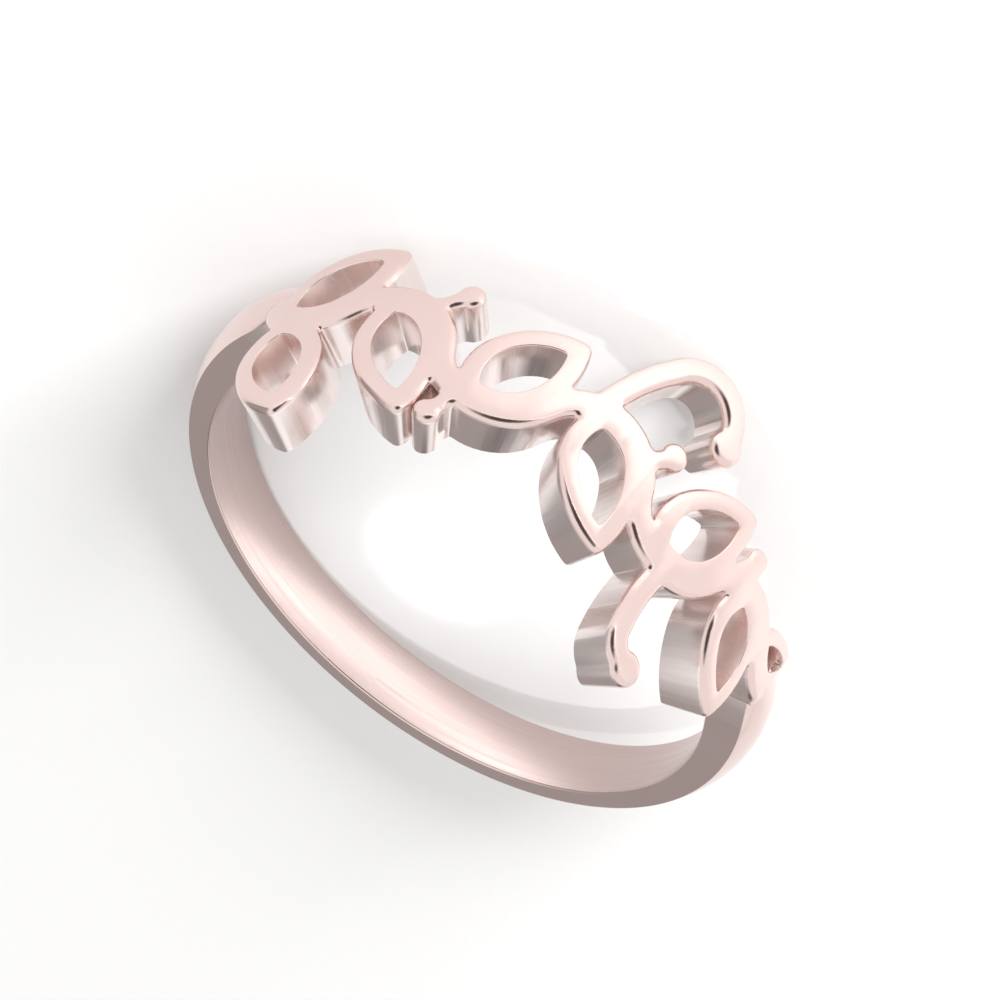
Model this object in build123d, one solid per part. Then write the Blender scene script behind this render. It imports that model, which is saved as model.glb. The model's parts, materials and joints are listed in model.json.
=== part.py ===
from build123d import *
from math import cos, degrees, hypot, radians, sin
import os

import numpy as np

# A finger ring with a pierced vine for its front, all one piece of metal, lying on its side.
# Lengths are in millimetres and angles in degrees. The ring is made with its axis along Z and the
# middle of its front at -Y, and is then turned onto the points that it rests on by itself.
# A place on the front is given along it, to the right as a viewer reads it, and up, towards its
# upper edge. That edge is underneath when the ring lies down.

# Main sizes
finger_bore = 17.3
front_length = 24.8
front_wall = 1.6
shank_width = 2.1
shank_wall = 0.95

# The stem, its waves, and how high its middle line runs
stem_width = 0.92
stem_swing = 1.17
stem_middle = -0.56

# The leaves: overall size, and the rim round the opening
leaf_length = 4.5
leaf_width = 2.7
leaf_rim = 0.62
leaf_lean = 33.0
leaf_tip_round = 0.3

# The tendrils, the stalks and the balls on their ends
tendril_width = 0.78
tendril_ball = 0.56
stalk_width = 0.56
stalk_length = 1.15
bud_ball = 0.44

# Rounding of the outer edges, and the step between strokes where they cross
edge_round = 0.24
ball_round = 0.34
layer_step = 0.025

# How far the walls run inside the bore before it is bored out
bore_stock = 0.96

# Sizes that follow
bore_radius = finger_bore / 2
face_radius = bore_radius + front_wall
front_half = front_length / 2
root_radius = bore_radius - bore_stock
blank_height = front_wall + face_radius - root_radius
tall = 4 * (leaf_length + stem_swing + shank_width)

# The search for the resting lean: its directions, and its first and last steps as slopes, on a mesh
# of the ring that is this fine, in millimetres and radians
search_turns = [radians(turn) for turn in range(0, 360, 5)]
first_slope = 0.1
last_slope = 1e-6
mesh_gap = 0.01
mesh_turn = 0.2

# Where a leaf is widest, from its foot, as a share of its length, and how thick its rim is at the
# foot and tip, as shares of the rim at its sides
leaf_belly = 0.42
foot_rim = 1.2
tip_rim = 1.4

# How much of the front's half length is free of the shank
shoulder_share = 0.85

# The stem's crests and hollows. Columns: along, as a share of half the front's length, up, as a
# share of the swing about the stem's middle, and how far its top sinks under the front's face, as a
# share of the front's wall. Both ends run down into the shoulders.
stem_rows = [
    (-0.960, 0.35, 0.18),
    (-0.780, -0.40, 0.00),
    (-0.516, 1.00, 0.00),
    (-0.230, -1.00, 0.00),
    (0.066, 1.00, 0.00),
    (0.352, -1.00, 0.00),
    (0.639, 0.92, 0.00),
    (0.850, 0.10, 0.00),
    (0.960, 0.35, 0.18),
]
stem_steps = 4

# The leaves. Columns: the stem row that each grows from, side of the stem (1 up, -1 down), its
# foot along from there as a share of the usual width, its lean as a share of the usual one, and
# its length and width as shares of the usual ones.
leaf_rows = [
    (1, 1, -0.30, 1.25, 1.00, 1.00),
    (1, -1, -0.16, 0.97, 0.98, 1.04),
    (2, -1, -0.19, 1.00, 1.04, 1.00),
    (3, 1, -0.19, 0.97, 0.98, 1.00),
    (4, -1, -0.23, 1.02, 1.02, 1.00),
    (5, 1, -0.19, 0.97, 0.98, 1.00),
    (6, -1, -0.23, 0.94, 0.92, 0.93),
    (7, 1, -0.60, 1.85, 0.70, 0.65),
]

# The buds. Columns: the stem row, foot along and up from there as shares of the stem's width, the
# stalk's heading, anticlockwise from along, and its length as a share of the usual one.
bud_rows = [
    (2, 0.8, 0.0, 47.0, 1.0),
    (3, -0.5, 0.1, -111.0, 1.0),
    (4, 1.3, -0.7, 53.0, 1.15),
    (6, -1.5, -0.5, 62.0, 1.1),
]

# The tendrils. Columns: the stem row, foot along and up from there as shares of the stem's width,
# first heading, then the arcs, each a radius as a share of the leaf's length and a turn.
tendril_rows = [
    (4, -0.7, -0.1, 79.0, [(1.56, -25.0), (0.307, -142.0)]),
    (5, 0.3, 0.0, -102.0, [(1.11, 28.0), (0.196, 80.0)]),
]

# The shank from the middle of its back to its shoulder. Columns: turn from the back, as a share of
# the whole turn, width as a share of the shank's, the crown's rise from the shank's wall to the
# front's, and the rim's height as a share of the crown's.
shank_rows = [
    (0.00, 1.00, 0.00, 0.58),
    (0.22, 1.00, 0.00, 0.58),
    (0.44, 1.00, 0.06, 0.60),
    (0.64, 1.00, 0.22, 0.68),
    (0.80, 1.00, 0.58, 0.73),
    (0.90, 0.98, 0.85, 0.78),
    (0.96, 0.80, 0.93, 0.82),
    (1.00, 0.46, 0.95, 0.86),
]


def stem_place(row):
    """Where a crest or hollow of the stem lies: along and up."""
    along, up, _ = stem_rows[row]
    return along * front_half, stem_middle + up * stem_swing


def front_plane(along):
    """The plane through the ring's axis that faces outwards at a place along the front."""
    turn = along / face_radius
    outward = (-sin(turn), -cos(turn), 0)
    rightward = (-cos(turn), sin(turn), 0)
    return Plane(origin=(0, 0, 0), x_dir=rightward, z_dir=outward)


def blank(outline, along):
    """A flat outline, drawn about a place along the front, as a straight wall through the front."""
    drawn = front_plane(along).offset(root_radius) * (Pos(-along, 0) * outline)
    return extrude(drawn, amount=blank_height)


def stroke(outline, along, layer=0, rounding=edge_round):
    """A wall whose outer face follows the finger, with the edges of that face rounded."""
    wall = blank(outline, along) & Cylinder(face_radius - layer * layer_step, tall)
    wall = wall.solid()
    outward = Axis((0, 0, 0), front_plane(along).z_dir)
    outer = wall.faces().sort_by(outward)[-1]
    return wall.fillet(rounding, outer.edges())


def half_wave(start, end):
    """The middle line of half a wave of the stem, of two arcs, level at both ends."""
    middle = ((start[0] + end[0]) / 2, (start[1] + end[1]) / 2)
    first = TangentArc(start, middle, tangent=(1, 0))
    second = TangentArc(middle, end, tangent=first % 1)
    return Wire([first, second])


def stem_section(place, heading, sink):
    """The stem's section across its middle line: square at the root and rounded at the face."""
    across = front_plane(place.X)
    onward = across.x_dir * heading.X + across.y_dir * heading.Y
    sideways = across.y_dir * heading.X - across.x_dir * heading.Y
    height = face_radius - sink - root_radius
    outline = Pos(0, root_radius + height / 2) * Rectangle(stem_width, height)
    outline = fillet(outline.vertices().sort_by(Axis.Y)[-2:], edge_round)
    return Plane(origin=across.y_dir * place.Y, x_dir=sideways, z_dir=onward) * outline


def stem():
    """The waving stem, lofted along its middle line from one shoulder to the other."""
    sections = []
    for row in range(len(stem_rows) - 1):
        line = half_wave(stem_place(row), stem_place(row + 1))
        sinks = (stem_rows[row][2], stem_rows[row + 1][2])
        for step in range(stem_steps):
            share = step / stem_steps
            sink = front_wall * (sinks[0] * (1 - share) + sinks[1] * share)
            sections.append(stem_section(line @ share, line % share, sink))
    sections.append(stem_section(line @ 1, line % 1, front_wall * sinks[1]))
    return loft(sections).solid()


def leaf_outline(length, width):
    """A leaf from its foot at the origin up to its tip, each side of two arcs that meet level."""
    foot = (0, 0)
    tip = (0, length)
    sides = []
    for side in (1, -1):
        belly = (side * width / 2, leaf_belly * length)
        sides.append(TangentArc(belly, foot, tangent=(0, -1)))
        sides.append(TangentArc(belly, tip, tangent=(0, 1)))
    return make_face(sides)


def leaf(foot, lean, length, width, rim):
    """A pierced leaf: a frame round an opening."""
    frame = leaf_outline(length, width)
    ends = frame.vertices().filter_by_position(Axis.X, -leaf_tip_round, leaf_tip_round)
    frame = fillet(ends, leaf_tip_round)
    opening = leaf_outline(length - (foot_rim + tip_rim) * rim, width - 2 * rim)
    opening = Pos(0, foot_rim * rim) * opening
    place = Pos(*foot) * Rot(0, 0, -lean)
    middle = (place * Pos(0, length / 2)).position.X
    return stroke(place * frame, middle, layer=1) - blank(place * opening, middle)


def leaves():
    """The leaves on both sides of the stem."""
    walls = []
    for row, side, foot, lean_share, length_share, width_share in leaf_rows:
        along, up = stem_place(row)
        lean = leaf_lean * lean_share
        turn = lean if side > 0 else 180 - lean
        rim = leaf_rim * (1 + width_share) / 2
        size = (leaf_length * length_share, leaf_width * width_share)
        walls.append(leaf((along + foot * leaf_width, up), turn, *size, rim))
    return walls


def ball(along, up, radius):
    """A ball of a tendril or bud: a short round stud with a domed top."""
    return stroke(Pos(along, up) * Circle(radius), along, rounding=ball_round)


def tendrils():
    """The two tendrils, each a chain of tangent arcs that ends in a ball."""
    walls = []
    for row, foot_along, foot_up, heading, arcs in tendril_rows:
        along, up = stem_place(row)
        end = Vector(along + foot_along * stem_width, up + foot_up * stem_width)
        edges = []
        for radius_share, turn in arcs:
            direction = (cos(radians(heading)), sin(radians(heading)))
            edges.append(JernArc(end, direction, radius_share * leaf_length, turn))
            end = edges[-1] @ 1
            heading += turn
        line = Wire(edges)
        walls.append(stroke(SlotArc(line, tendril_width), line.bounding_box().center().X, layer=2))
        walls.append(ball(end.X, end.Y, tendril_ball))
    return walls


def buds():
    """The small balls on straight stalks."""
    walls = []
    for row, foot_along, foot_up, heading, length_share in bud_rows:
        along, up = stem_place(row)
        foot = Vector(along + foot_along * stem_width, up + foot_up * stem_width)
        reach = Vector(stalk_length * length_share, 0).rotate(Axis.Z, heading)
        middle = foot + reach / 2
        stalk = SlotCenterToCenter(reach.length, stalk_width, rotation=heading)
        walls.append(stroke(Pos(middle.X, middle.Y) * stalk, middle.X, layer=3))
        walls.append(ball(foot.X + reach.X, foot.Y + reach.Y, bud_ball))
    return walls


def shank_section(turn, width, crown, rim):
    """The shank's section at a turn from the back: flat sides and inside, and a domed outside."""
    half = width / 2
    edge = bore_radius + rim
    sides = Polyline((edge, -half), (root_radius, -half), (root_radius, half), (edge, half))
    dome = ThreePointArc((edge, half), (bore_radius + crown, 0), (edge, -half))
    radial = (sin(radians(turn)), cos(radians(turn)), 0)
    onward = (-cos(radians(turn)), sin(radians(turn)), 0)
    return Plane(origin=(0, 0, 0), x_dir=radial, z_dir=onward) * make_face([sides, dome])


def shank():
    """The band round the back of the finger, from one shoulder to the other."""
    whole_turn = 180 - degrees(shoulder_share * front_half / face_radius)
    far_side = [(-turn_share, *sizes) for turn_share, *sizes in reversed(shank_rows[1:])]
    sections = []
    for turn_share, width_share, rise, rim_share in far_side + shank_rows:
        crown = shank_wall + rise * (front_wall - shank_wall)
        sections.append(
            shank_section(turn_share * whole_turn, width_share * shank_width, crown, rim_share * crown)
        )
    return loft(sections).solid()


def upright_ring():
    """The whole ring with its axis along Z, bored to the finger's size."""
    joined = shank().fuse(stem())
    for strokes in (leaves(), tendrils() + buds()):
        joined = joined.fuse(*strokes)
    return (joined - Cylinder(bore_radius, tall)).solid()


def resting_place(ring):
    """The move that lays the ring down as it rests by itself, with its centre of mass at its lowest."""
    centre = ring.center(CenterOf.MASS)
    corners, _ = ring.tessellate(mesh_gap, mesh_turn)
    arms = np.array([tuple(corner - centre) for corner in corners])

    def upward(lean):
        return np.array([lean[0], lean[1], 1.0]) / hypot(lean[0], lean[1], 1.0)

    def height(lean):
        return -(arms @ upward(lean)).min()

    lean = np.zeros(2)
    step = first_slope
    while step > last_slope:
        trials = [lean + step * np.array([cos(turn), sin(turn)]) for turn in search_turns]
        lowest = min(trials, key=height)
        if height(lowest) < height(lean):
            lean = lowest
        else:
            step /= 2
    up = upward(lean)
    table = Plane(origin=centre, x_dir=(up[2], 0, -up[0]), z_dir=tuple(up))
    box = (table.location.inverse() * ring).bounding_box()
    return Pos(-box.center().X, -box.center().Y, -box.min.Z) * table.location.inverse()


os.makedirs("parts", exist_ok=True)
whole_ring = upright_ring()
export_step(resting_place(whole_ring) * whole_ring, "parts/ring.step")
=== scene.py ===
import json
import math

import bmesh
import bpy
from mathutils import Matrix, Vector

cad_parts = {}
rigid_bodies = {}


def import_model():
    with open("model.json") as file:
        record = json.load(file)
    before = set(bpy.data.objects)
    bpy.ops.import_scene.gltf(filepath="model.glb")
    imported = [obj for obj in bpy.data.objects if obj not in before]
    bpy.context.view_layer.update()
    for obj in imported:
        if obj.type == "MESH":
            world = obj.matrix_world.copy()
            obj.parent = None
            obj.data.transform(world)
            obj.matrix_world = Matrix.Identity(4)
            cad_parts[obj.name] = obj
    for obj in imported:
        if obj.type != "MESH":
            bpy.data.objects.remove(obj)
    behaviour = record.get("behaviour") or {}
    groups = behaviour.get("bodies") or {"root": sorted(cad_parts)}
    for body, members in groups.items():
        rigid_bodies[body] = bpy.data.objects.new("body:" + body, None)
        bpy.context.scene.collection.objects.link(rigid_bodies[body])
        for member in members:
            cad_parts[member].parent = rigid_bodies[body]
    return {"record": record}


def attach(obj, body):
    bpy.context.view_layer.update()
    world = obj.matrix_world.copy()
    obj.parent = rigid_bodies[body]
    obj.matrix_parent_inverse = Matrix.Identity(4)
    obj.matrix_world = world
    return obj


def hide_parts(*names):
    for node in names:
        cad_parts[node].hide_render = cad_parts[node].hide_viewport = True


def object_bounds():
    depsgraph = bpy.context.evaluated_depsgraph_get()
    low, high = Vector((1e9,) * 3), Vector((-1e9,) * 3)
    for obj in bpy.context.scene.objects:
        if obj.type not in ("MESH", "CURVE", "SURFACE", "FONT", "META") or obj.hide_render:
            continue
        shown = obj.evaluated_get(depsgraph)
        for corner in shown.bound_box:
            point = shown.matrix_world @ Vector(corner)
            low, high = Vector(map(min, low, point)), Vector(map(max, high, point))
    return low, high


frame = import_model()
cad_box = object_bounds()

# The stem, a strip that waves from shoulder to shoulder and carries the leaves. Such a front is
# sawn from silver sheet, then bent round a mandrel and polished, so its strokes are first made
# flat, in millimetres: X along the front, Y towards its upper edge and Z from the finger outwards.
finger = frame["record"]["mounts"][0]
bore_radius = finger["dims"]["r_mm"]
front_length = 24.8
front_wall = 1.6
stem_width = 0.92
stem_swing = 1.17
stem_middle = -0.56
front_half = front_length / 2
face_radius = bore_radius + front_wall

# The steps of an arc, and how near two points count as one.
arc_step = math.radians(7)
least_arc_steps = 2
same_point = 1e-5

# The stem's crests and hollows. Columns: along, as a share of half the front's length, and up, as a
# share of the swing about the stem's middle.
stem_rows = [
    (-0.960, 0.35),
    (-0.780, -0.40),
    (-0.516, 1.00),
    (-0.230, -1.00),
    (0.066, 1.00),
    (0.352, -1.00),
    (0.639, 0.92),
    (0.850, 0.10),
    (0.960, 0.35),
]
stem_places = [
    Vector((along * front_half, stem_middle + up * stem_swing, 0)) for along, up in stem_rows
]
strokes = bpy.data.collections.new("strokes")
bpy.context.scene.collection.children.link(strokes)


def heading_line(heading):
    """A unit vector along a heading, which is measured anticlockwise from along the front."""
    return Vector((math.cos(heading), math.sin(heading), 0))


def edge_across(blank, middle, heading, width):
    """The edge that a ribbon starts from, square to its heading."""
    across = heading_line(heading + math.pi / 2) * width / 2
    ends = [blank.verts.new(middle - across), blank.verts.new(middle + across)]
    return ends + [blank.edges.new(ends)]


def spin_on(blank, geom, centre, turn, steps=None):
    """Turns a point or an edge about a centre, leaving its track, and gives the track's far end."""
    made = bmesh.ops.spin(
        blank, geom=geom, cent=centre, axis=(0, 0, 1), dvec=(0, 0, 0), angle=turn,
        steps=steps or max(least_arc_steps, math.ceil(abs(turn) / arc_step)),
        use_merge=False, use_normal_flip=False, use_duplicate=False,
    )
    return made["geom_last"]


def raise_walls(blank):
    """Turns flat faces into closed walls, as thick as the sheet, that stand on the finger."""
    made = bmesh.ops.extrude_face_region(blank, geom=blank.faces[:])
    tops = [item for item in made["geom"] if isinstance(item, bmesh.types.BMVert)]
    bmesh.ops.translate(blank, verts=tops, vec=(0, 0, front_wall))
    bmesh.ops.recalc_face_normals(blank, faces=blank.faces[:])


def store(blank, name):
    """Stores a solid as an object of its own, to be joined to the others."""
    mesh = bpy.data.meshes.new(name)
    blank.to_mesh(mesh)
    blank.free()
    strokes.objects.link(bpy.data.objects.new(name, mesh))


def keep_stroke(blank, name):
    """Raises a flat stroke to the sheet's thickness and stores it."""
    bmesh.ops.remove_doubles(blank, verts=blank.verts[:], dist=same_point)
    raise_walls(blank)
    store(blank, name)


stem = bmesh.new()
ribbon = edge_across(stem, stem_places[0], 0, stem_width)
for start, end in zip(stem_places, stem_places[1:]):
    run = end - start
    turn = 2 * math.atan2(run.y, run.x)
    radius = run.length_squared / (4 * run.y)
    ribbon = spin_on(stem, ribbon, start + Vector((0, radius, 0)), turn)
    ribbon = spin_on(stem, ribbon, end - Vector((0, radius, 0)), -turn)
keep_stroke(stem, "stem")

# The leaves, each a frame round an opening, sawn from one sheet with the stem. Each side is two
# arcs that meet level at the leaf's widest place, and its foot and tip are rounded off.
leaf_length = 4.5
leaf_width = 2.7
leaf_rim = 0.62
leaf_lean = math.radians(33)
leaf_tip_round = 0.3
opening_tip_round = 0.12

# Where a leaf is widest, from its foot, as a share of its length, and how thick its rim is at the
# foot and tip, as shares of the rim at its sides.
leaf_belly = 0.42
foot_rim = 1.2
tip_rim = 1.4

# The steps of a leaf's rounded ends and of its two arcs, and how near its halves count as joined.
leaf_end_steps = 4
leaf_foot_steps = 10
leaf_tip_steps = 12
mirror_gap = 1e-4

# Columns: the stem row that each leaf grows from, side of the stem (1 up, -1 down), its foot along
# from there as a share of the usual width, its lean as a share of the usual one, and its length and
# width as shares of the usual ones.
leaf_rows = [
    (1, 1, -0.30, 1.25, 1.00, 1.00),
    (1, -1, -0.16, 0.97, 0.98, 1.04),
    (2, -1, -0.19, 1.00, 1.04, 1.00),
    (3, 1, -0.19, 0.97, 0.98, 1.00),
    (4, -1, -0.23, 1.02, 1.02, 1.00),
    (5, 1, -0.19, 0.97, 0.98, 1.00),
    (6, -1, -0.23, 0.94, 0.92, 0.93),
    (7, 1, -0.60, 1.85, 0.70, 0.65),
]


def half_leaf(blank, foot_up, length, width, tip_round):
    """Draws the right half of a leaf's outline from foot to tip, in two arcs with rounded ends."""
    belly = leaf_belly * length
    foot_radius = (width ** 2 / 4 + belly ** 2) / width
    tip_radius = (width ** 2 / 4 + (length - belly) ** 2) / width
    foot_end = belly - math.sqrt((foot_radius - tip_round) ** 2 - (foot_radius - width / 2) ** 2)
    tip_end = belly + math.sqrt((tip_radius - tip_round) ** 2 - (tip_radius - width / 2) ** 2)
    foot_turn = math.atan2(belly - foot_end, foot_radius - width / 2)
    tip_turn = math.atan2(tip_end - belly, tip_radius - width / 2)
    foot_centre = (width / 2 - foot_radius, foot_up + belly, 0)
    tip_centre = (width / 2 - tip_radius, foot_up + belly, 0)
    point = [blank.verts.new((0, foot_up + foot_end - tip_round, 0))]
    point = spin_on(blank, point, (0, foot_up + foot_end, 0), math.pi / 2 - foot_turn, leaf_end_steps)
    point = spin_on(blank, point, foot_centre, foot_turn, leaf_foot_steps)
    point = spin_on(blank, point, tip_centre, tip_turn, leaf_tip_steps)
    spin_on(blank, point, (0, foot_up + tip_end, 0), math.pi / 2 - tip_turn, leaf_end_steps)


for number, (row, side, foot, lean, length, width) in enumerate(leaf_rows):
    rim = leaf_rim * (1 + width) / 2
    length *= leaf_length
    width *= leaf_width
    leaf = bmesh.new()
    half_leaf(leaf, 0, length, width, leaf_tip_round)
    opening_length = length - (foot_rim + tip_rim) * rim
    half_leaf(leaf, foot_rim * rim, opening_length, width - 2 * rim, opening_tip_round)
    bmesh.ops.mirror(leaf, geom=leaf.verts[:] + leaf.edges[:], axis="X", merge_dist=mirror_gap)
    bmesh.ops.bridge_loops(leaf, edges=leaf.edges[:])
    lean *= side * leaf_lean
    if side < 0:
        lean += math.pi
    grow_from = Matrix.Translation(stem_places[row] + Vector((foot * leaf_width, 0, 0)))
    leaf.transform(grow_from @ Matrix.Rotation(-lean, 4, "Z"))
    keep_stroke(leaf, f"leaf_{number}")

# The two tendrils, strips that curl away from the stem and end in round studs, all sawn from the
# same sheet.
tendril_width = 0.78
tendril_ball = 0.56
ball_steps = 32

# Columns: the stem row, foot along and up from there as shares of the stem's width, first heading
# in degrees, then the arcs, each a radius as a share of the leaf's length and a turn in degrees.
tendril_rows = [
    (4, -0.7, -0.1, 79, [(1.56, -25), (0.307, -142)]),
    (5, 0.3, 0.0, -102, [(1.11, 28), (0.196, 80)]),
]


def add_ball(centre, radius, name):
    """A round stud on the end of a strip."""
    ball = bmesh.new()
    bmesh.ops.create_circle(
        ball, cap_ends=True, segments=ball_steps, radius=radius, matrix=Matrix.Translation(centre),
    )
    keep_stroke(ball, name)


for number, (row, foot_along, foot_up, heading, arcs) in enumerate(tendril_rows):
    tendril = bmesh.new()
    end = stem_places[row] + Vector((foot_along, foot_up, 0)) * stem_width
    heading = math.radians(heading)
    ribbon = edge_across(tendril, end, heading, tendril_width)
    for radius, turn in arcs:
        turn = math.radians(turn)
        sideways = heading_line(heading + math.copysign(math.pi / 2, turn))
        centre = end + sideways * radius * leaf_length
        ribbon = spin_on(tendril, ribbon, centre, turn)
        end = centre + Matrix.Rotation(turn, 3, "Z") @ (end - centre)
        heading += turn
    keep_stroke(tendril, f"tendril_{number}")
    add_ball(end, tendril_ball, f"tendril_ball_{number}")

# The four buds, small balls on straight stalks in the gaps between the leaves, sawn from the same
# sheet.
stalk_width = 0.56
stalk_length = 1.15
stalk_steps = 16
bud_ball = 0.44

# Columns: the stem row, foot along and up from there as shares of the stem's width, the stalk's
# heading in degrees, and its length as a share of the usual one.
bud_rows = [
    (2, 0.8, 0.0, 47, 1.0),
    (3, -0.5, 0.1, -111, 1.0),
    (4, 1.3, -0.7, 53, 1.15),
    (6, -1.5, -0.5, 62, 1.1),
]


def draw_stalk(blank, start, end, width):
    """A flat strip with round ends: a disc that is pulled apart across its middle."""
    half_step = math.pi / stalk_steps
    disc_radius = width / 2 / math.cos(half_step)
    bmesh.ops.create_circle(blank, cap_ends=True, segments=stalk_steps, radius=disc_radius)
    bmesh.ops.rotate(
        blank, cent=(0, 0, 0), matrix=Matrix.Rotation(half_step, 3, "Z"), verts=blank.verts[:],
    )
    far = [corner for corner in blank.verts if corner.co.x > 0]
    bmesh.ops.translate(blank, verts=far, vec=((end - start).length, 0, 0))
    turn = math.atan2(end.y - start.y, end.x - start.x)
    bmesh.ops.transform(
        blank, matrix=Matrix.Translation(start) @ Matrix.Rotation(turn, 4, "Z"), verts=blank.verts[:],
    )


for number, (row, foot_along, foot_up, heading, length) in enumerate(bud_rows):
    stalk = bmesh.new()
    foot = stem_places[row] + Vector((foot_along, foot_up, 0)) * stem_width
    end = foot + heading_line(math.radians(heading)) * stalk_length * length
    draw_stalk(stalk, foot, end, stalk_width)
    keep_stroke(stalk, f"stalk_{number}")
    add_ball(end, bud_ball, f"bud_{number}")

# The sawn sheet: all the strokes in one outline. A file softened the corners between them, and the
# polishing wheel rounded the outer edges, while the edges of the openings stayed nearly crisp.
wheel_round = 0.24
wheel_steps = 5
saw_round = 0.04
saw_steps = 3

# The file: how sharp a corner it finds, how far it reaches from there, the longest edge that it
# leaves whole, the cuts in a longer one, and how often and how strongly it smooths the outline.
crotch_turn = math.radians(205)
file_reach = 0.30
file_step = 0.08
file_cuts = 4
file_passes = 10
file_pull = 0.5

# How far the sheet's ends sink into the shoulders, as a share of its thickness, and where.
end_fall = 0.18
fall_from = 0.88 * front_half
fall_to = 0.96 * front_half

# How near a point counts as on a level, how near two points of the outline count as one, and the
# upright parts of the normals that tell a top from a wall.
level_gap = 1e-4
outline_gap = 0.03
least_top_rise = 0.9
most_wall_rise = 0.1

# How many of its points tell an edge or a face from all the others.
telling_points = 3


def put_in_order(blank):
    """Orders edges and faces by the points that they join, so that every run makes the same mesh."""
    blank.verts.index_update()
    count = len(blank.verts)

    def rank(item):
        number = 0
        for index in sorted(corner.index for corner in item.verts)[:telling_points]:
            number = number * count + index
        return number

    blank.edges.sort(key=rank)
    blank.faces.sort(key=rank)


def join_all():
    """Joins the stored strokes into one closed solid, and gives its blank."""
    base = strokes.objects[0]
    strokes.objects.unlink(base)
    bpy.context.scene.collection.objects.link(base)
    join = base.modifiers.new("join", "BOOLEAN")
    join.operation = "UNION"
    join.solver = "MANIFOLD"
    join.operand_type = "COLLECTION"
    join.collection = strokes
    joined = bpy.data.meshes.new_from_object(base.evaluated_get(bpy.context.evaluated_depsgraph_get()))
    for piece in [base] + list(strokes.objects):
        bpy.data.objects.remove(piece)
    blank = bmesh.new()
    blank.from_mesh(joined)
    put_in_order(blank)
    return blank


def flat_outline(blank):
    """Leaves only the outline of a solid's underside, and gives the corners between its strokes."""
    upper = [face for face in blank.faces if face.calc_center_median().z > level_gap]
    bmesh.ops.delete(blank, geom=upper, context="FACES")
    between = [
        corner.co.copy() for corner in blank.verts
        if corner.is_boundary and sum(loop.calc_angle() for loop in corner.link_loops) > crotch_turn
    ]
    inner = [edge for edge in blank.edges if len(edge.link_faces) == 2]
    bmesh.ops.delete(blank, geom=blank.faces[:], context="FACES_ONLY")
    bmesh.ops.delete(blank, geom=inner, context="EDGES")
    bmesh.ops.remove_doubles(blank, verts=blank.verts[:], dist=outline_gap)
    return between


def mark_outer(blank):
    """Marks the outline's outer loop, the one that holds its point furthest left."""
    layer = blank.verts.layers.int.new("outer")
    reached = [min(blank.verts, key=lambda corner: corner.co.x)]
    for corner in reached:
        corner[layer] = 1
        others = [edge.other_vert(corner) for edge in corner.link_edges]
        reached += [other for other in others if not other[layer]]
    return layer


def near_crotch(corner):
    """Whether the file reaches this point of the outer edge from a corner between two strokes."""
    return corner[outer] and any((corner.co - crotch).length < file_reach for crotch in crotches)


def round_tops(blank, radius, steps, edges):
    """Rounds edges of the flat top."""
    bmesh.ops.bevel(
        blank, geom=edges, offset=radius, offset_type="OFFSET", segments=steps, profile=0.5,
        affect="EDGES", material=-1, clamp_overlap=False,
    )


sheet = join_all()
crotches = flat_outline(sheet)
outer = mark_outer(sheet)
long_edges = [
    edge for edge in sheet.edges
    if edge.calc_length() > file_step and any(near_crotch(corner) for corner in edge.verts)
]
made = bmesh.ops.subdivide_edges(sheet, edges=long_edges, cuts=file_cuts)
for item in made["geom_inner"]:
    if isinstance(item, bmesh.types.BMVert):
        item[outer] = 1
filed = [corner for corner in sheet.verts if near_crotch(corner)]
for _ in range(file_passes):
    bmesh.ops.smooth_vert(sheet, verts=filed, factor=file_pull, use_axis_x=True, use_axis_y=True)
bmesh.ops.triangle_fill(
    sheet, use_beauty=True, use_dissolve=False, edges=sheet.edges[:], normal=(0, 0, 1),
)
raise_walls(sheet)
tops = [
    edge for edge in sheet.edges
    if any(face.normal.z > least_top_rise for face in edge.link_faces)
    and any(abs(face.normal.z) < most_wall_rise for face in edge.link_faces)
]
outer_tops = [edge for edge in tops if edge.verts[0][outer]]
opening_tops = [edge for edge in tops if not edge.verts[0][outer]]
round_tops(sheet, wheel_round, wheel_steps, outer_tops)
round_tops(sheet, saw_round, saw_steps, [edge for edge in opening_tops if edge.is_valid])
for corner in sheet.verts:
    share = (abs(corner.co.x) - fall_from) / (fall_to - fall_from)
    corner.co.z *= 1 - end_fall * min(1, max(0, share))
store(sheet, "sheet")

# The shank, a half-round wire that thickens and narrows towards its shoulders, where the front is
# soldered on. It is drawn straight too, in two halves that meet at the back of the finger.
shank_width = 2.1
shank_wall = 0.95
shoulder_share = 0.85
comfort_round = 0.07
comfort_steps = 3
dome_steps = 14
bend_steps = 107
back_along = math.pi * face_radius
shoulder_along = shoulder_share * front_half
bend_step = back_along / bend_steps

# A level between the foot of the wire's first section, at -1, and its rim, at 0.
foot_level = -0.5

# Columns: turn from the back, as a share of the whole turn, width as a share of the shank's, the
# crown's rise from the shank's wall to the front's, and the rim's height as a share of the crown's.
shank_rows = [
    (0.00, 1.00, 0.00, 0.58),
    (0.22, 1.00, 0.00, 0.58),
    (0.44, 1.00, 0.06, 0.60),
    (0.64, 1.00, 0.22, 0.68),
    (0.80, 1.00, 0.58, 0.73),
    (0.90, 0.98, 0.85, 0.78),
    (0.96, 0.80, 0.93, 0.82),
    (1.00, 0.46, 0.95, 0.86),
]


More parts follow.
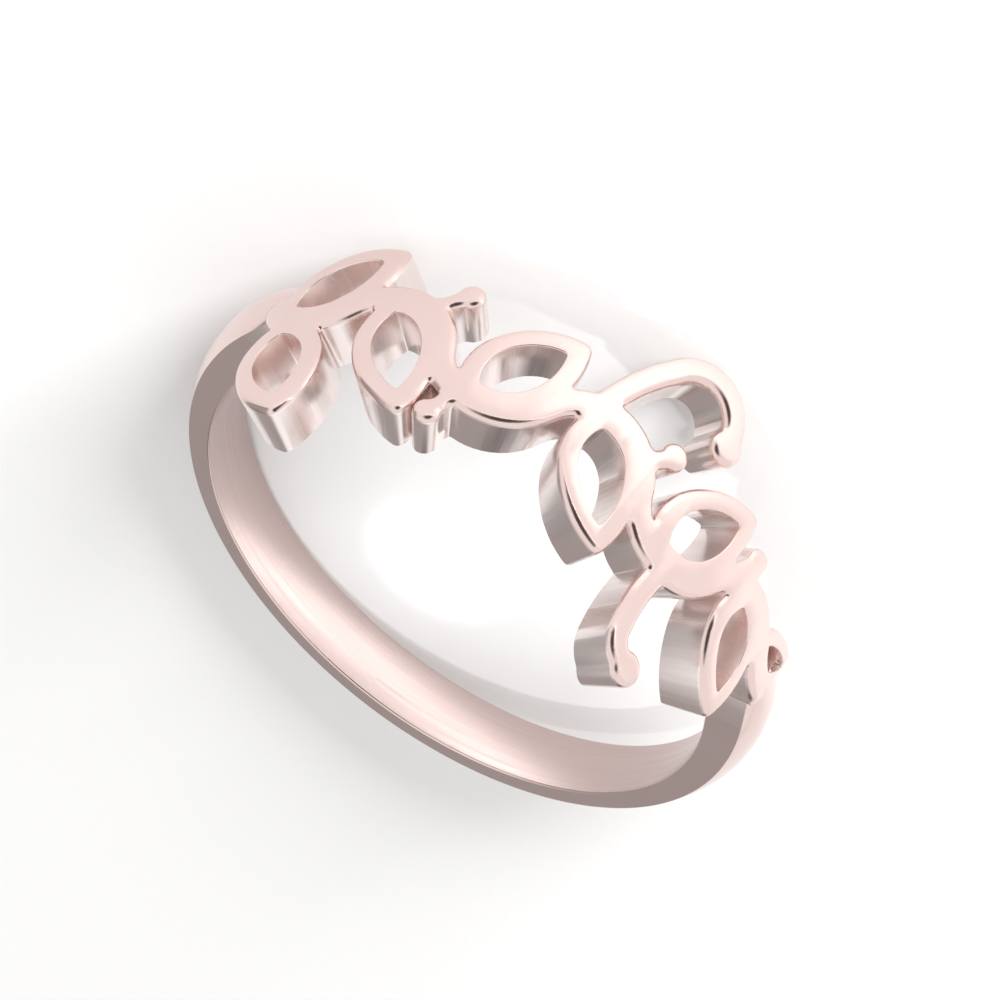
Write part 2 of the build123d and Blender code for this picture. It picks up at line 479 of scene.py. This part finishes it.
def shank_sizes(share):
    """Width, crown and rim at a share of the way from the back to the shoulder, on smooth curves
    through the rows. The rows go on past both ends, as a mirror image and in a straight line."""
    rows = [(-shank_rows[1][0], *shank_rows[1][1:])] + shank_rows
    rows.append([2 * last - before for last, before in zip(shank_rows[-1], shank_rows[-2])])
    number = max(index for index in range(1, len(rows) - 2) if rows[index][0] <= share)
    before, low, high, after = rows[number - 1:number + 3]
    along = (share - low[0]) / (high[0] - low[0])
    sizes = []
    for column in (1, 2, 3):
        low_slope = (high[column] - before[column]) / (high[0] - before[0]) * (high[0] - low[0])
        high_slope = (after[column] - low[column]) / (after[0] - low[0]) * (high[0] - low[0])
        gap = high[column] - low[column]
        curve = (low_slope + high_slope - 2 * gap) * along + 3 * gap - 2 * low_slope - high_slope
        sizes.append(low[column] + low_slope * along + curve * along ** 2)
    width, rise, rim = sizes
    crown = shank_wall + rise * (front_wall - shank_wall)
    return width * shank_width, crown, rim * crown


def draw_section(blank):
    """Draws the wire's section, square at its foot and domed above its rims, and gives its edges."""
    rim_corner = blank.verts.new((0, 1, 0))
    dome_arc = bmesh.ops.spin(
        blank, geom=[rim_corner], cent=(0, 0, 0), axis=(1, 0, 0), dvec=(0, 0, 0), angle=math.pi,
        steps=dome_steps, use_merge=False, use_normal_flip=False, use_duplicate=False,
    )
    feet = [blank.verts.new((0, 1, -1)), blank.verts.new((0, -1, -1))]
    corners = [rim_corner, *feet, dome_arc["geom_last"][0]]
    for pair in zip(corners, corners[1:]):
        blank.edges.new(pair)
    return blank.edges[:]


def size_section(corner):
    """Brings a point of the drawn wire to the shank's real width, dome and thickness."""
    share = (back_along - abs(corner.co.x)) / (back_along - shoulder_along)
    width, crown, rim = shank_sizes(min(1, max(0, share)))
    dome = crown - rim
    dome_radius = (width ** 2 / 4 + dome ** 2) / (2 * dome)
    across = corner.co.y * width / 2
    top = crown - dome_radius + math.sqrt(dome_radius ** 2 - across ** 2)
    corner.co = (corner.co.x, across, 0 if corner.co.z < foot_level else top)


for side in (-1, 1):
    half = bmesh.new()
    section = draw_section(half)
    bmesh.ops.translate(half, verts=half.verts[:], vec=(side * shoulder_along, 0, 0))
    bmesh.ops.edgeloop_fill(half, edges=section)
    along = shoulder_along
    for step in range(math.ceil(shoulder_along / bend_step), bend_steps + 1):
        made = bmesh.ops.extrude_edge_only(half, edges=section)["geom"]
        corners = [item for item in made if isinstance(item, bmesh.types.BMVert)]
        bmesh.ops.translate(half, verts=corners, vec=(side * (step * bend_step - along), 0, 0))
        section = [item for item in made if isinstance(item, bmesh.types.BMEdge)]
        along = step * bend_step
    bmesh.ops.edgeloop_fill(half, edges=section)
    bmesh.ops.recalc_face_normals(half, faces=half.faces[:])
    inner_edges = [
        edge for edge in half.edges
        if all(corner.co.z < foot_level for corner in edge.verts)
        and edge.verts[0].co.y * edge.verts[1].co.y > 0
    ]
    for corner in half.verts:
        size_section(corner)
    bmesh.ops.bevel(
        half, geom=inner_edges, offset=comfort_round, offset_type="OFFSET", segments=comfort_steps,
        profile=0.5, affect="EDGES", material=-1, clamp_overlap=True,
    )
    store(half, "shank_half")

# The joined ring. The strokes and the shank become one solid, which is bent round the finger and
# closed at the back. The real one is soldered silver, polished all over and plated with rose gold.
sliver = 0.001
short_edge = 0.01
back_gap = 1e-3

# The finishes, and the upright parts of the normals that tell the bore and the walls from the rest.
polished, sawn, drawn, filed_smooth = range(4)
most_bore_rise = -0.9
most_side_rise = 0.3

metal = join_all()
bmesh.ops.dissolve_degenerate(metal, dist=sliver, edges=metal.edges[:])
for level in (0, front_wall):
    flat = [
        edge for edge in metal.edges
        if all(abs(corner.co.z - level) < level_gap for face in edge.link_faces for corner in face.verts)
    ]
    bmesh.ops.dissolve_edges(metal, edges=flat, use_verts=False, use_face_split=False)
# The walls get paler colours below, which are painted light, and the bore a darker one, which is painted
# shade.
for face in metal.faces:
    face.material_index = polished
    if face.normal.z < most_bore_rise:
        face.material_index = drawn
    elif abs(face.normal.z) < most_side_rise:
        on_front = abs(face.calc_center_median().x) < front_half
        face.material_index = sawn if on_front else filed_smooth
for step in range(1 - bend_steps, bend_steps):
    bmesh.ops.bisect_plane(
        metal, geom=metal.verts[:] + metal.edges[:] + metal.faces[:], dist=level_gap,
        plane_co=(step * bend_step, 0, 0), plane_no=(1, 0, 0), use_snap_center=False,
        clear_outer=False, clear_inner=False,
    )
bmesh.ops.dissolve_degenerate(metal, dist=short_edge, edges=metal.edges[:])
ends = [
    face for face in metal.faces
    if all(abs(corner.co.x) > back_along - back_gap for corner in face.verts)
]
bmesh.ops.delete(metal, geom=ends, context="FACES_ONLY")

# The places on the flat strip, in millimetres, are kept for the finishes to follow.
flat_places = metal.loops.layers.uv.new("flat_places")
for face in metal.faces:
    for loop in face.loops:
        loop[flat_places].uv = loop.vert.co.xy
back = [corner for corner in metal.verts if abs(corner.co.x) > back_along - back_gap]
for corner in metal.verts:
    turn = corner.co.x / face_radius
    out = bore_radius + corner.co.z
    corner.co = (-out * math.sin(turn), -out * math.cos(turn), -corner.co.y)
bmesh.ops.remove_doubles(metal, verts=back, dist=back_gap)
bmesh.ops.recalc_face_normals(metal, faces=metal.faces[:])

# Where the ring lies: its axis leans, because it rests on a tendril's curl and the back's rim. Each
# side is then eased by a hair, so that it fills its box.
millimetre = 0.001
axis = Vector(finger["axis"]).normalized()
front = Vector((0, -axis.z, axis.y)).normalized()
lay_down = Matrix((axis.cross(front), -front, axis)).transposed().to_4x4()
lay_down = Matrix.Translation(finger["pos_m"]) @ lay_down @ Matrix.Scale(millimetre, 4)
metal.transform(lay_down)
for column, (box_low, box_high) in enumerate(zip(*cad_box)):
    low = min(corner.co[column] for corner in metal.verts)
    high = max(corner.co[column] for corner in metal.verts)
    ease = (box_high - box_low) / (high - low)
    for corner in metal.verts:
        corner.co[column] = box_low + (corner.co[column] - low) * ease

# The bore's broad faces lead the shading at their edges, so that it mirrors evenly. They are
# weighed in millimetres, because areas in square metres are too small to count.
crease_turn = math.radians(40)
put_in_order(metal)
mesh = bpy.data.meshes.new("ring_cast")
metal.to_mesh(mesh)
metal.free()
mesh.shade_smooth()
mesh.set_sharp_from_angle(angle=crease_turn)
mesh.transform(Matrix.Scale(1 / millimetre, 4))
ring = bpy.data.objects.new("ring_cast", mesh)
bpy.context.scene.collection.objects.link(ring)
inside = ring.vertex_groups.new(name="inside")
bore_faces = [face for face in mesh.polygons if face.material_index == drawn]
inside.add([corner for face in bore_faces for corner in face.vertices], 1, "REPLACE")
weigh = ring.modifiers.new("weigh", "WEIGHTED_NORMAL")
weigh.keep_sharp = True
weigh.vertex_group = "inside"
mesh = bpy.data.meshes.new_from_object(ring.evaluated_get(bpy.context.evaluated_depsgraph_get()))
mesh.transform(Matrix.Scale(millimetre, 4))
ring.modifiers.remove(weigh)
ring.vertex_groups.remove(inside)
ring.data = mesh
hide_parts("ring")
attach(ring, "root")


def linear(code):
    """An sRGB hex colour as the linear colour that a socket takes."""
    parts = [int(code[start:start + 2], 16) / 255 for start in (1, 3, 5)]
    return [part / 12.92 if part <= 0.04045 else ((part + 0.055) / 1.055) ** 2.4 for part in parts] + [1]


def add_node(tree, kind, settings=None, links=None):
    """Adds a node with its settings and input values, and links its inputs from other sockets."""
    node = tree.nodes.new(kind)
    for name, value in (settings or {}).items():
        if isinstance(name, int) or name in node.inputs:
            node.inputs[name].default_value = value
        else:
            setattr(node, name, value)
    for name, socket in (links or {}).items():
        tree.links.new(socket, node.inputs[name])
    return node


# The colour sockets of a Mix node, which share their names with its other sockets.
mix_first = 6
mix_second = 7
mix_result = 2

# The part of a noise's range that most of it lies in, and how finely it is broken up.
noise_low = 0.3
noise_high = 0.7
metal_detail = 3

# Columns: name, the two colours of its plate, some with painted light or shade in them, its least and
# most roughness, how long the marks are round the finger and how wide across it, in millimetres, and how
# deep they are, in millimetres.
finishes = [
    # Rose gold plate, buffed to a mirror on a cotton wheel: the tops and the shank's outside. The
    # wheel leaves soft waves, so the eye sees clear pale pink reflections that swim a little.
    ("rose_gold_polished", ("#ead3ce", "#e4ccc6"), (0.10, 0.17), (1.667, 1.667), 0.024),
    # Rose gold plate over sawn silver that was only tumbled: the walls of the front. The saw leaves a
    # fine tooth that no wheel reaches, so the reflections are softer and a little cloudy. Its colour is
    # paler than the plate's: painted light that lifts the shade in the deep openings between the
    # strokes.
    ("rose_gold_sawn_painted_light", ("#faf1ef", "#f3e5e1"), (0.20, 0.29), (0.1667, 0.1667), 0.0022),
    # Rose gold plate over drawn and rolled silver: the bore. Its hair lines run round the finger, and
    # they pull each highlight out into long faint streaks on a satin ground. Real ones are finer, and
    # these are drawn coarse enough to show. Its colour is darker and greyer than the plate's: painted
    # shade on the inside of the ring.
    ("rose_gold_drawn_painted_shade", ("#cdbab6", "#c3afab"), (0.18, 0.27), (8.333, 0.1111), 0.0012),
    # Rose gold plate over a rim that was filed level and brushed: the shank's sides. The file leaves
    # long shallow flats, so the eye sees a smooth grey-pink band that shifts slowly in tone. Its colour
    # is paler than the plate's, like the front's walls: painted light.
    ("rose_gold_filed_painted_light", ("#f9eeeb", "#efded9"), (0.18, 0.26), (2.857, 2.857), 0.012),
]
for name, colours, shines, (mark_length, mark_width), depth in finishes:
    finish = bpy.data.materials.new(name)
    finish.use_nodes = True
    tree = finish.node_tree
    strip = add_node(tree, "ShaderNodeUVMap", {"uv_map": "flat_places"}).outputs["UV"]
    scaled = add_node(tree, "ShaderNodeMapping", {
        "Scale": (1 / mark_length, 1 / mark_width, 1),
    }, {"Vector": strip}).outputs["Vector"]
    marks = add_node(tree, "ShaderNodeTexNoise", {
        "Scale": 1, "Detail": metal_detail,
    }, {"Vector": scaled}).outputs[0]
    tint = add_node(tree, "ShaderNodeMix", {
        "data_type": "RGBA", mix_first: linear(colours[0]), mix_second: linear(colours[1]),
    }, {0: marks})
    shine = add_node(tree, "ShaderNodeMapRange", {
        "From Min": noise_low, "From Max": noise_high, "To Min": shines[0], "To Max": shines[1],
    }, {"Value": marks})
    relief = add_node(tree, "ShaderNodeBump", {"Distance": depth * millimetre}, {"Height": marks})
    shader = tree.nodes["Principled BSDF"]
    shader.inputs["Metallic"].default_value = 1
    tree.links.new(tint.outputs[mix_result], shader.inputs["Base Color"])
    tree.links.new(shine.outputs["Result"], shader.inputs["Roughness"])
    tree.links.new(relief.outputs["Normal"], shader.inputs["Normal"])
    ring.data.materials.append(finish)

# The floor, a wide sheet of matt white paper, laid flat and far wider than the view. Its tooth is
# too fine to show at its real size of some hundredths of a millimetre, so it is drawn coarser.
paper_half = 0.6
paper_colours = ("#f5f5f5", "#f3f3f2")
paper_roughness = 0.8
tooth_size = 0.4
tooth_depth = 0.004
tooth_detail = 2
blank_paper = bmesh.new()
bmesh.ops.create_grid(blank_paper, x_segments=1, y_segments=1, size=paper_half)
paper_mesh = bpy.data.meshes.new("floor")
blank_paper.to_mesh(paper_mesh)
blank_paper.free()
floor = bpy.data.objects.new("floor", paper_mesh)
bpy.context.scene.collection.objects.link(floor)

# Uncoated white paper, pressed: it scatters all light evenly, so the eye sees a soft white with no
# shine and a faint tooth in the shadows.
paper = bpy.data.materials.new("white_paper")
paper.use_nodes = True
tree = paper.node_tree
spot = add_node(tree, "ShaderNodeTexCoord").outputs["Object"]
tooth = add_node(tree, "ShaderNodeTexNoise", {
    "Scale": 1 / (tooth_size * millimetre), "Detail": tooth_detail,
}, {"Vector": spot}).outputs[0]
tint = add_node(tree, "ShaderNodeMix", {
    "data_type": "RGBA", mix_first: linear(paper_colours[0]), mix_second: linear(paper_colours[1]),
}, {0: tooth})
relief = add_node(tree, "ShaderNodeBump", {"Distance": tooth_depth * millimetre}, {"Height": tooth})
shader = tree.nodes["Principled BSDF"]
shader.inputs["Roughness"].default_value = paper_roughness
tree.links.new(tint.outputs[mix_result], shader.inputs["Base Color"])
tree.links.new(relief.outputs["Normal"], shader.inputs["Normal"])
paper_mesh.materials.append(paper)

# The room, evenly lit and pale, with large grey and dark cards far off. Polished metal shows only
# what it mirrors, so the cards are what give the ring its greys and its dark edges.
room_level = (1.05, 1.05, 1.05, 1)

# Columns: the way to each card, half its width and the softness of its edge, both in degrees, and
# its light.
card_rows = [
    ((0.05, 0.93, 0.36), 42, 22, (0.36, 0.325, 0.318, 1)),
    ((-0.52, 0.76, 0.40), 10, 9, (0.18, 0.163, 0.158, 1)),
    ((0.62, 0.70, 0.36), 8, 8, (0.22, 0.205, 0.20, 1)),
    ((0.92, 0.35, 0.10), 30, 18, (0.42, 0.41, 0.405, 1)),
    ((0.0, -0.93, 0.39), 23, 11, (0.09, 0.08, 0.077, 1)),
]
world = bpy.data.worlds.new("studio")
bpy.context.scene.world = world
world.use_nodes = True
tree = world.node_tree
looking = add_node(tree, "ShaderNodeTexCoord").outputs["Generated"]
room = None
for card_way, half, soft, card_level in card_rows:
    card_way = Vector(card_way).normalized()
    facing = add_node(tree, "ShaderNodeVectorMath", {
        "operation": "DOT_PRODUCT", 1: card_way,
    }, {0: looking})
    card = add_node(tree, "ShaderNodeMapRange", {
        "interpolation_type": "SMOOTHSTEP",
        "From Min": math.cos(math.radians(half + soft)),
        "From Max": math.cos(math.radians(half - soft)),
    }, {"Value": facing.outputs["Value"]})
    mix = add_node(tree, "ShaderNodeMix", {
        "data_type": "RGBA", mix_first: room_level, mix_second: card_level,
    }, {0: card.outputs["Result"]})
    if room:
        tree.links.new(room, mix.inputs[mix_first])
    room = mix.outputs[mix_result]
tree.links.new(room, tree.nodes["Background"].inputs["Color"])

# The lamps: a softbox that stands low in front, so that the ring's shadow falls beyond the shank,
# and four small lamps overhead, each on a pool of paper that the ring would shade. They light the
# paper alone, because the metal is kept from mirroring them. Sizes are in metres and watts.
key_place = (-0.08, -0.42, 0.13)
key_size = 0.15
key_power = 2.8
pool_lamp_place = (-0.01, -0.02, 0.25)

# Columns: name, the pool's middle, its radius, the lamp's power, and the lamp's own radius.
pool_rows = [
    ("shank_pool", (0.0004, 0.0049, 0), 0.0015, 5.0, 0.001),
    ("hollow_pool", (-0.0022, 0.0015, 0), 0.0090, 0.9, 0.004),
    ("front_pool", (-0.0030, -0.0170, 0), 0.0110, 1.8, 0.004),
    ("right_pool", (-0.0150, -0.0050, 0), 0.0090, 0.9, 0.004),
]
mirror_bounces = 12


def hang_lamp(name, light, stand, aim):
    """Hangs a lamp that faces a place on the floor, and that the metal itself doesn't mirror."""
    lamp = bpy.data.objects.new(name, light)
    bpy.context.scene.collection.objects.link(lamp)
    turn = (Vector(stand) - Vector(aim)).to_track_quat("Z", "Y").to_matrix().to_4x4()
    lamp.matrix_world = Matrix.Translation(stand) @ turn
    lamp.visible_glossy = False


key = bpy.data.lights.new("key", "AREA")
key.size = key_size
key.energy = key_power
hang_lamp("key", key, key_place, (0, 0, 0))
for name, aim, radius, power, lamp_radius in pool_rows:
    pool = bpy.data.lights.new(name, "SPOT")
    pool.energy = power
    pool.spot_size = 2 * math.atan(radius / pool_lamp_place[2])
    pool.spot_blend = 1.0
    pool.shadow_soft_size = lamp_radius
    hang_lamp(name, pool, pool_lamp_place, aim)
bpy.context.scene.cycles.glossy_bounces = mirror_bounces

# The camera, at the photograph's angle to the ring: its height over the front's middle plane, its
# roll, and its place, in millimetres from the ring's centre. It looks through a long lens, and
# white paper stays white because the tones are shown as they are.
camera_rise = math.radians(30.79)
camera_roll = math.radians(218.46)
camera_far = 210.7
camera_aside = 0.407
camera_over = -1.80
camera_lens = 257.4
camera_sensor = 36
camera_near = 0.01
aside = Vector((1, 0, 0))
backward = Vector((0, -math.cos(camera_rise), math.sin(camera_rise)))
upward = Vector((0, math.sin(camera_rise), math.cos(camera_rise)))
camera_place = backward * camera_far + aside * camera_aside + upward * camera_over
turned = Matrix((aside, upward, backward)).transposed() @ Matrix.Rotation(camera_roll, 3, "Z")
lens = bpy.data.cameras.new("camera")
lens.lens = camera_lens
lens.sensor_width = camera_sensor
lens.clip_start = camera_near
camera = bpy.data.objects.new("camera", lens)
bpy.context.scene.collection.objects.link(camera)
ring_frame = lay_down @ Matrix.Scale(1 / millimetre, 4)
camera.matrix_world = ring_frame @ Matrix.Translation(camera_place * millimetre) @ turned.to_4x4()
bpy.context.scene.camera = camera
bpy.context.scene.view_settings.view_transform = "Standard"
